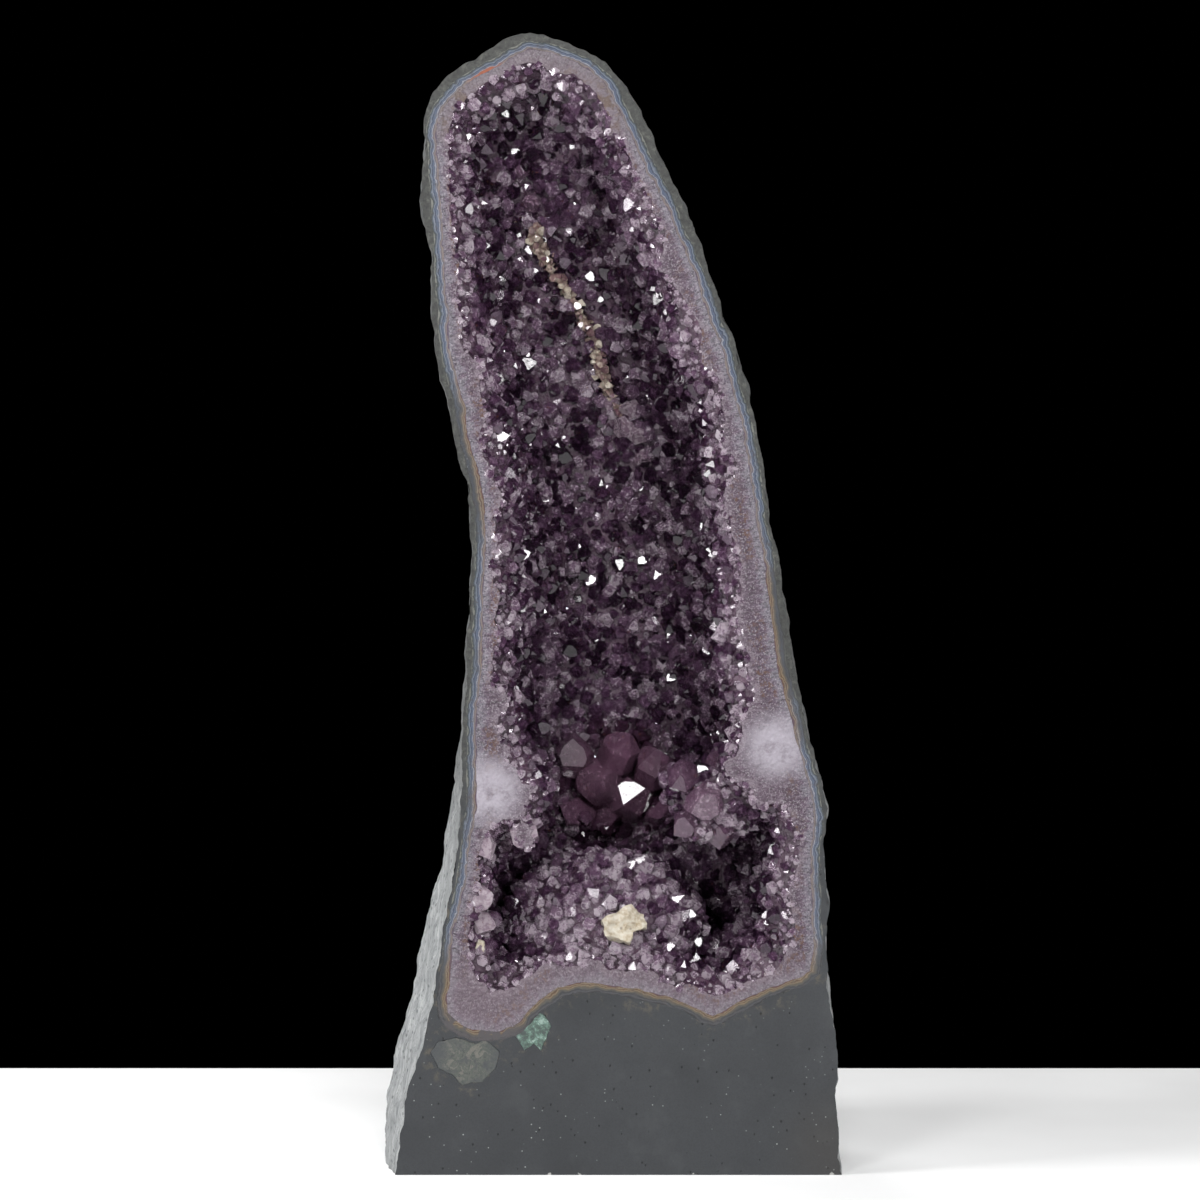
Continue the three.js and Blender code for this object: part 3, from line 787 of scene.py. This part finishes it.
def crystal_mesh(name, body, root, facets):
    """
    A quartz crystal of unit radius along +Z: a six-sided body up to `body`, under six facets set back
    unevenly.
    """
    slope = math.radians(51.8)
    planes = [(Vector((0, 0, -1)), root)]
    for side, back in enumerate(facets):
        angle = side * math.pi / 3
        across = Vector((math.cos(angle), math.sin(angle), 0))
        planes.append((across, 0.87))
        normal = across * math.sin(slope) + Vector((0, 0, math.cos(slope)))
        planes.append((normal, 0.87 * math.sin(slope) + body * math.cos(slope) - back))
    corners = []
    for three in itertools.combinations(planes, 3):
        matrix = Matrix([plane[0] for plane in three])
        if abs(matrix.determinant()) < 1e-6:
            continue
        corner = matrix.inverted() @ Vector([plane[1] for plane in three])
        if all(normal.dot(corner) < distance + 1e-5 for normal, distance in planes):
            corners.append(corner)
    mesh = bmesh.new()
    for corner in corners:
        mesh.verts.new(corner)
    bmesh.ops.remove_doubles(mesh, verts=mesh.verts, dist=1e-3)
    bmesh.ops.convex_hull(mesh, input=mesh.verts)
    bmesh.ops.dissolve_limit(mesh, angle_limit=0.01, verts=mesh.verts, edges=mesh.edges)
    bmesh.ops.recalc_face_normals(mesh, faces=mesh.faces)
    data = bpy.data.meshes.new(name)
    mesh.to_mesh(data)
    mesh.free()
    return data


def crystal_shapes(body, root):
    """A collection of crystals that differ in how evenly their facets meet."""
    sets = [
        (0, 0.2, 0, 0.2, 0, 0.2), (0, 0.34, 0.1, 0.3, 0, 0.22), (0.05, 0.1, 0, 0.25, 0.12, 0),
        (0.2, 0, 0.1, 0, 0.3, 0.05)
    ]
    shapes = bpy.data.collections.new("crystal shapes")
    for i, facets in enumerate(sets):
        data = crystal_mesh(f"crystal shape {i}", body, root, facets)
        shapes.objects.link(bpy.data.objects.new(data.name, data))
    return shapes


def druse_tree(material):
    """Geometry Nodes that cover a surface in crystals and keep them behind the sawn front."""
    tree = bpy.data.node_groups.new("druse", "GeometryNodeTree")
    tree.interface.new_socket("Geometry", in_out="INPUT", socket_type="NodeSocketGeometry")
    tree.interface.new_socket("Geometry", in_out="OUTPUT", socket_type="NodeSocketGeometry")
    for name, kind in (
        ("Crystals", "NodeSocketCollection"),
        ("Spacing", "NodeSocketFloat"),
        ("Smallest", "NodeSocketFloat"),
        ("Largest", "NodeSocketFloat"),
        ("Lean", "NodeSocketFloat"),
        ("Front", "NodeSocketFloat"),
        ("Seed", "NodeSocketInt"),
    ):
        tree.interface.new_socket(name, in_out="INPUT", socket_type=kind)
    given = tree.nodes.new("NodeGroupInput").outputs

    def add(kind, settings=None, **inputs):
        node = tree.nodes.new(kind)
        for key, value in (settings or {}).items():
            setattr(node, key, value)
        for key, value in inputs.items():
            put(node.inputs[key.replace("_", " ")], value)
        return node

    def put(socket, value):
        if isinstance(value, bpy.types.NodeSocket):
            tree.links.new(value, socket)
        else:
            socket.default_value = value

    def between(low, high, shift):
        """A random number for each crystal."""
        seed = add("ShaderNodeMath", {"operation": "ADD"})
        put(seed.inputs[0], given["Seed"])
        put(seed.inputs[1], shift)
        node = add("FunctionNodeRandomValue", {"data_type": "FLOAT"})
        sockets = [socket for socket in node.inputs if socket.enabled]
        put(sockets[0], low)
        put(sockets[1], high)
        put(node.inputs["Seed"], seed.outputs[0])
        return next(socket for socket in node.outputs if socket.enabled)

    def times(a, b):
        node = add("ShaderNodeMath", {"operation": "MULTIPLY"})
        put(node.inputs[0], a)
        put(node.inputs[1], b)
        return node.outputs[0]

    room = add("GeometryNodeInputNamedAttribute", {"data_type": "FLOAT"}, Name="room")
    size = add("GeometryNodeInputNamedAttribute", {"data_type": "FLOAT"}, Name="size")
    scattered = add(
        "GeometryNodeDistributePointsOnFaces",
        {"distribute_method": "POISSON"},
        Mesh=given["Geometry"],
        Distance_Min=given["Spacing"],
        Density_Max=90000.0,
        Density_Factor=room.outputs["Attribute"],
        Seed=given["Seed"],
    )
    negative = add("ShaderNodeMath", {"operation": "MULTIPLY"})
    put(negative.inputs[0], given["Lean"])
    put(negative.inputs[1], -1.0)
    lean = add(
        "ShaderNodeCombineXYZ",
        X=between(negative.outputs[0], given["Lean"], 1),
        Y=between(negative.outputs[0], given["Lean"], 2),
        Z=between(0.0, math.tau, 3),
    )
    turned = add(
        "FunctionNodeRotateRotation", {"rotation_space": "LOCAL"}, Rotation=scattered.outputs["Rotation"]
    )
    put(turned.inputs["Rotate By"], lean.outputs[0])
    instances = add(
        "GeometryNodeInstanceOnPoints",
        Points=scattered.outputs["Points"],
        Rotation=turned.outputs[0],
        Scale=times(between(given["Smallest"], given["Largest"], 4), size.outputs["Attribute"]),
        Pick_Instance=True,
        Instance=add(
            "GeometryNodeCollectionInfo",
            Collection=given["Crystals"],
            Separate_Children=True,
            Reset_Children=True
        ).outputs[0],
    )
    toned = add("GeometryNodeStoreNamedAttribute", {"data_type": "FLOAT", "domain": "INSTANCE"})
    put(toned.inputs["Geometry"], instances.outputs[0])
    put(toned.inputs["Name"], "tone")
    put(next(s for s in toned.inputs if s.name == "Value" and s.enabled), between(0.0, 1.0, 5))
    solid = add("GeometryNodeRealizeInstances", Geometry=toned.outputs[0])
    place = add("ShaderNodeSeparateXYZ", Vector=add("GeometryNodeInputPosition").outputs[0])

    def sum_of(operation, a, b=0.0):
        node = add("ShaderNodeMath", {"operation": operation})
        put(node.inputs[0], a)
        put(node.inputs[1], b)
        return node.outputs[0]

    behind = sum_of("SUBTRACT", place.outputs["Y"], given["Front"])
    depth = sum_of("DIVIDE", behind, FLATTENED)
    pressed = sum_of("EXPONENT", sum_of("MINIMUM", sum_of("SUBTRACT", depth, 1.0), 0.0))
    free = sum_of("MAXIMUM", sum_of("SUBTRACT", behind, FLATTENED), 0.0)
    kept = sum_of("ADD", sum_of("MULTIPLY", pressed, FLATTENED), free)
    held_y = sum_of("ADD", kept, given["Front"])
    held = add("ShaderNodeCombineXYZ", X=place.outputs["X"], Y=held_y, Z=place.outputs["Z"])
    cut = add("GeometryNodeSetPosition", Geometry=solid.outputs[0], Position=held.outputs[0])
    painted = add("GeometryNodeSetMaterial", Geometry=cut.outputs[0], Material=material)
    out = tree.nodes.new("NodeGroupOutput")
    tree.links.new(painted.outputs[0], out.inputs[0])
    return tree


def grow_druse(name, wall_data, shapes, material, layer, seed, node):
    spacing, smallest, largest, lean = layer
    bed = bpy.data.objects.new(name + " bed", wall_data)
    bpy.context.scene.collection.objects.link(bed)
    modifier = bed.modifiers.new("druse", "NODES")
    tree = druse_tree(material)
    modifier.node_group = tree
    values = {
        "Crystals": shapes,
        "Spacing": spacing,
        "Smallest": smallest,
        "Largest": largest,
        "Lean": math.radians(lean),
        "Front": FRONT - PROUD,
        "Seed": seed,
    }
    for socket in tree.interface.items_tree:
        if socket.in_out == "INPUT" and socket.name in values:
            modifier[socket.identifier] = values[socket.name]
    bed.data.update()
    grown = bed.evaluated_get(bpy.context.evaluated_depsgraph_get())
    data = bpy.data.meshes.new_from_object(grown)
    data.name = name
    bpy.data.objects.remove(bed)
    return shown_data(data, name, material, node)


def build_large(wall, material):
    """The largest crystals, each grown from where a line straight back from the front meets the wall."""
    tree = BVHTree.FromBMesh(wall)
    chance = random.Random(7)
    shapes = [crystal_mesh(f"large {i}", 0.5, 0.9, facets) for i, facets in enumerate(
        [(0, 0.25, 0.05, 0.3, 0, 0.2), (0.1, 0.3, 0, 0.35, 0.15, 0.1), (0, 0.15, 0.2, 0.1, 0.05, 0.3)]
    )]
    mesh = bmesh.new()
    tone_layer = mesh.verts.layers.float.new("tone")
    for x, z, radius, sideways, up, tone in LARGE_CRYSTALS:
        place, normal, _, _ = tree.ray_cast(Vector((x * MM, FRONT + 0.1 * MM, z * MM)), Vector((0, 1, 0)))
        if place is None:
            continue
        if normal.y > 0:
            normal = -normal
        way = (normal + Vector((sideways, -0.3, up))).normalized()
        turn = way.to_track_quat("Z", "X").to_matrix().to_4x4()
        spin = Euler((0, 0, chance.uniform(0, math.tau))).to_matrix().to_4x4()
        size = Matrix.Scale(radius * MM, 4)
        before = len(mesh.verts)
        mesh.from_mesh(chance.choice(shapes))
        mesh.verts.ensure_lookup_table()
        for vert in mesh.verts[before:]:
            vert.co = Matrix.Translation(place) @ turn @ spin @ size @ vert.co
            vert.co.y = max(vert.co.y, FRONT + 0.4 * MM)
            vert[tone_layer] = tone
    return shown(mesh, "large_crystals", material, "amethyst_lining")


# ---------------------------------------------------------------- stage


def build_floor():
    mesh = bmesh.new()
    back = FRONT + FLOOR_BEHIND
    for x, y in ((-4, -5), (4, -5), (4, back), (-4, back)):
        mesh.verts.new((x, y, 0))
    mesh.faces.new(mesh.verts)
    data = bpy.data.meshes.new("floor")
    mesh.to_mesh(data)
    mesh.free()
    floor = bpy.data.objects.new("floor", data)
    bpy.context.scene.collection.objects.link(floor)
    g = Shader("floor")
    data.materials.append(g.finish(g.ramp(g.noise(0.4), [(0.3, "#f4f4f4"), (0.7, "#ffffff")]), 0.6))


def add_softbox(name, at, towards, width, height, watts, tint="#ffffff"):
    light = bpy.data.lights.new(name, "AREA")
    light.shape = "RECTANGLE"
    light.size = width
    light.size_y = height
    light.energy = watts
    light.color = colour(tint)[:3]
    lamp = bpy.data.objects.new(name, light)
    lamp.location = at
    lamp.visible_camera = False
    lamp.rotation_euler = (Vector(towards) - Vector(at)).to_track_quat("-Z", "Y").to_euler()
    bpy.context.scene.collection.objects.link(lamp)


def build_stage():
    build_floor()
    world = bpy.data.worlds.new("dark")
    world.use_nodes = True
    world.node_tree.nodes["Background"].inputs["Color"].default_value = (0.0, 0.0, 0.0, 1)
    bpy.context.scene.world = world
    middle = (0, FRONT + 0.1, 0.45)
    add_softbox("top", (0.2, -1.8, 2.2), middle, 0.8, 0.5, 36)
    add_softbox("key left", (-1.1, -2.5, 1.1), middle, 0.55, 0.75, 30)
    add_softbox("key right", (1.2, -2.4, 0.8), middle, 0.5, 0.7, 25)
    add_softbox("side left", (-1.9, -0.7, 0.9), middle, 0.7, 1.4, 44)
    add_softbox("side right", (1.8, -0.9, 1.0), middle, 0.4, 1.2, 16)
    add_softbox("back", (-0.9, 2.2, 1.6), middle, 1.2, 1.2, 30)
    camera = bpy.data.objects.new("camera", bpy.data.cameras.new("camera"))
    camera.location = CAMERA["at"]
    camera.rotation_euler = (math.pi / 2, 0, 0)
    camera.data.lens = CAMERA["lens"]
    camera.data.sensor_width = CAMERA["sensor"]
    camera.data.clip_end = 50
    bpy.context.scene.collection.objects.link(camera)
    bpy.context.scene.camera = camera
    bpy.context.scene.view_settings.view_transform = "Standard"
    bpy.context.scene.view_settings.look = "None"


# ---------------------------------------------------------------- putting it together

build_rock()
build_agate()
bed, wall, strip = build_bed()
wall_data = bpy.data.meshes.new("wall")
wall.to_mesh(wall_data)

QUARTZ = [(0.0, "#1d101d"), (0.3, "#3d263c"), (0.55, "#5f445d"), (0.8, "#8a7187"), (1.0, "#bcaeb9")]
PALE_QUARTZ = [(0.0, "#402a3d"), (0.5, "#644a5e"), (0.8, "#8a7484"), (1.0, "#b5a7b0")]
SEAM_QUARTZ = [(0.0, "#644650"), (0.4, "#85706b"), (0.7, "#a3998a"), (1.0, "#c6bdb0")]
PURPLE = (0.75, 0.4, 0.7, 1)  # what a thickness of amethyst lets through
druse_quartz = crystal_material("amethyst points", QUARTZ, 0.6, PURPLE, 25.0)
large_quartz = crystal_material("amethyst large", PALE_QUARTZ, 0.5, (0.85, 0.55, 0.75, 1), 12.0)
seam_quartz = crystal_material("seam grains", SEAM_QUARTZ, 0.25, (0.9, 0.75, 0.75, 1), 10.0)
for seed, (layer_name, layer) in enumerate(DRUSE_LAYERS.items()):
    shapes = crystal_shapes(0.25 if seed == 0 else 0.1, 0.5)
    grow_druse(layer_name, wall_data, shapes, druse_quartz, layer, seed + 3, "amethyst_lining")
fringe_shapes = crystal_shapes(1.0, 1.2)
grow_druse("fringe", strip, fringe_shapes, druse_quartz, FRINGE, 8, "amethyst_lining")
build_large(wall, large_quartz)
wall.free()

CREAM = calcite_material("calcite cream", "#a49d8f", "#7d6e54", 5 * MM)
PINK = calcite_material("calcite pink", "#806e64", "#523c3f", 6 * MM)
CELADONITE = patch_material(
    "celadonite",
    [(0.3, "#21342d"), (0.45, "#384840"), (0.55, "#4d665c"), (0.65, "#7d9088"), (0.75, "#2e3835")],
    5 * MM, (-60, 113, 30),
)
NODULE = patch_material(
    "nodule", [(0.3, "#303436"), (0.44, "#474843"), (0.52, "#373d38"), (0.62, "#585650"), (0.75, "#34322d")],
    8 * MM, (-112, 90, 34),
)
build_small("calcite_plate", "plate", CREAM, 3 * MM, [(9 * MM, 4 * MM), (3 * MM, 1.2 * MM)])
build_small("calcite_chip", "chip", CREAM, 3 * MM, [(8 * MM, 2.4 * MM), (3 * MM, 1 * MM)])
seam = build_small(
    "calcite_seam", "seam", PINK, 4 * MM, [(9 * MM, 3 * MM), (3 * MM, 1.4 * MM)], 3.5 * MM
)
grow_druse(
    "seam_grains", seam.data, crystal_shapes(0.1, 0.5), seam_quartz, SEAM_GRAINS, 9, "calcite_seam"
)
build_small("celadonite_patch", "green_patch", CELADONITE, 2 * MM, [])
build_small("agate_nodule", "nodule", NODULE, 2 * MM, [])

build_stage()
